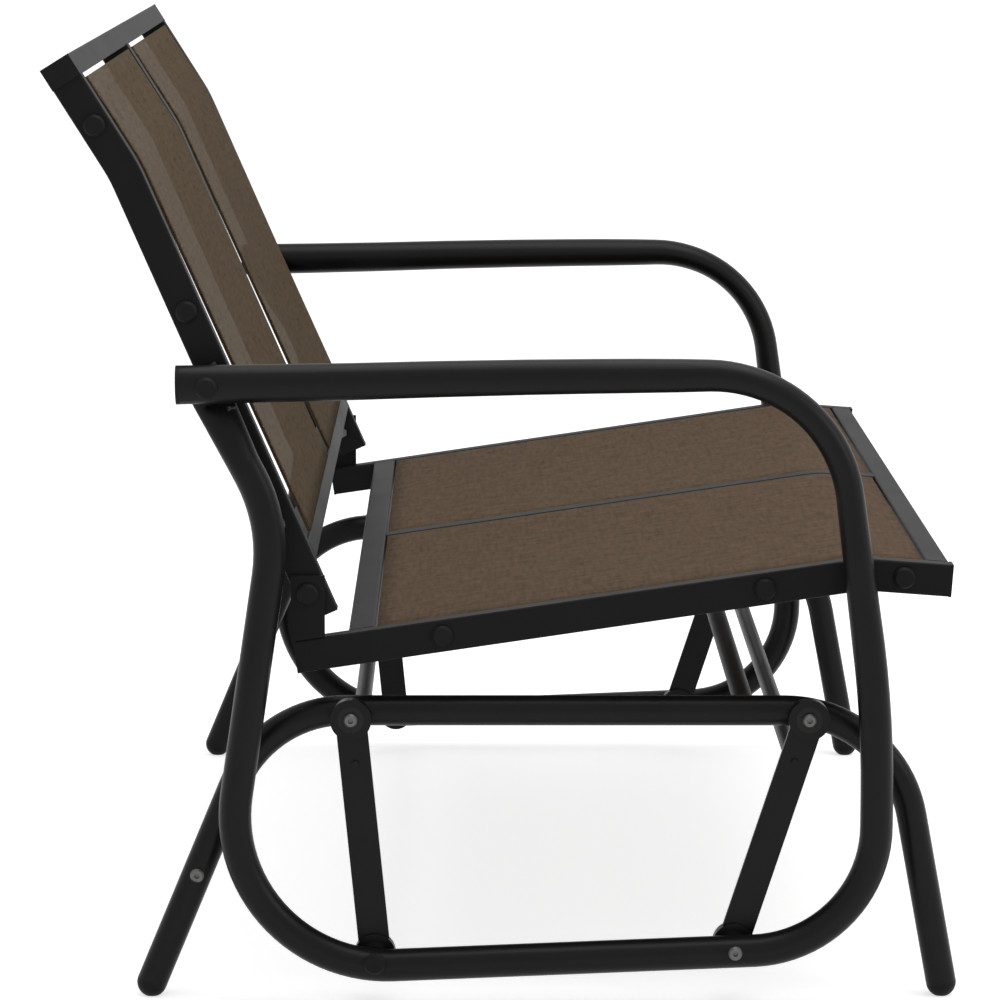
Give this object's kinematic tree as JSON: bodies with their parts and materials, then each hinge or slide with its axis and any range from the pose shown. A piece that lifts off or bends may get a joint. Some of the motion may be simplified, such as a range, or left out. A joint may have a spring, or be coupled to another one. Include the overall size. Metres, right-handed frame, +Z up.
{
  "type": "glider bench",
  "caption": "Outdoor glider bench with round tubular arm loops hung by swing links from a tubular base, and slung fabric seat and back panels in a rail frame.",
  "frame": {"origin": "on the floor under the middle of the bench, at the bottom centre of its overall box", "axes": "+X runs across the seat to the sitter's left, the bench faces -Y, +Z is up"},
  "size_m": [1.202, 0.8413, 0.875],
  "materials": {
    "black_plastic": "fine matt",
    "frame_metal": "matt dark brown-black powder coat",
    "hidden_steel": "zinc-plated",
    "nylon": "plain nylon",
    "rail_metal": "matt dark brown-black powder coat",
    "silver_bolt": "zinc-plated",
    "sling_fabric": "woven coated polyester mesh",
    "tie_tube_metal": "satin grey paint"
  },
  "bodies": {
    "base": {"base_cross_tube": "frame_metal", "base_side_left": "frame_metal", "base_side_right": "frame_metal", "foot_plugs": "black_plastic", "leg_bolts": "silver_bolt", "leg_nuts": "hidden_steel", "upper_pivot_bolts": "silver_bolt", "upper_pivot_nuts": "hidden_steel", "upper_pivot_washers": "nylon"},
    "front_arms": {"front_link_bushes": "nylon", "front_link_left": "frame_metal", "front_link_right": "frame_metal", "front_link_screws": "hidden_steel", "front_link_tube": "tie_tube_metal"},
    "rear_arms": {"rear_link_bushes": "nylon", "rear_link_left": "frame_metal", "rear_link_right": "frame_metal", "rear_link_screws": "hidden_steel", "rear_link_tube": "tie_tube_metal"},
    "glider": {"arm_end_caps": "black_plastic", "back_bottom_rail": "rail_metal", "back_mid_rail": "rail_metal", "back_side_left": "rail_metal", "back_side_right": "rail_metal", "back_sling_clips": "rail_metal", "back_sling_left": "sling_fabric", "back_sling_right": "sling_fabric", "back_sling_strips": "rail_metal", "back_top_rail": "rail_metal", "bolt_caps": "black_plastic", "cap_bolts": "hidden_steel", "cap_nuts": "hidden_steel", "frame_bolts": "hidden_steel", "frame_spacers": "silver_bolt", "loop_left": "frame_metal", "loop_right": "frame_metal", "lower_pivot_bolts": "silver_bolt", "lower_pivot_caps": "black_plastic", "lower_pivot_nuts": "hidden_steel", "lower_pivot_washers": "nylon", "middle_rail_bolts": "hidden_steel", "rail_end_plugs": "black_plastic", "seat_front_rail": "rail_metal", "seat_mid_rail": "rail_metal", "seat_post_left": "rail_metal", "seat_post_right": "rail_metal", "seat_rear_rail": "rail_metal", "seat_side_left": "rail_metal", "seat_side_right": "rail_metal", "seat_sling_clips": "rail_metal", "seat_sling_left": "sling_fabric", "seat_sling_right": "sling_fabric", "seat_sling_strips": "rail_metal"}
  },
  "joints": [
    {"name": "front_arm_swing", "type": "hinge", "parent": "base", "child": "front_arms", "pos_m": [0, -0.2806, 0.265], "axis": [1, 0, 0], "range_deg": [-8, 8]},
    {"name": "rear_arm_swing", "type": "hinge", "parent": "base", "child": "rear_arms", "pos_m": [0, 0.1406, 0.265], "axis": [1, 0, 0], "range_deg": [-8, 8]},
    {"name": "glider_swing", "type": "hinge", "parent": "front_arms", "child": "glider", "pos_m": [0, -0.21212, 0.05488], "axis": [1, 0, 0], "range_deg": [-10.5, 10.5]}
  ],
  "couplings": [
    {"joint": "rear_arm_swing", "follows": "front_arm_swing", "ratio": 0.9436},
    {"joint": "glider_swing", "follows": "front_arm_swing", "ratio": -1.2718}
  ]
}
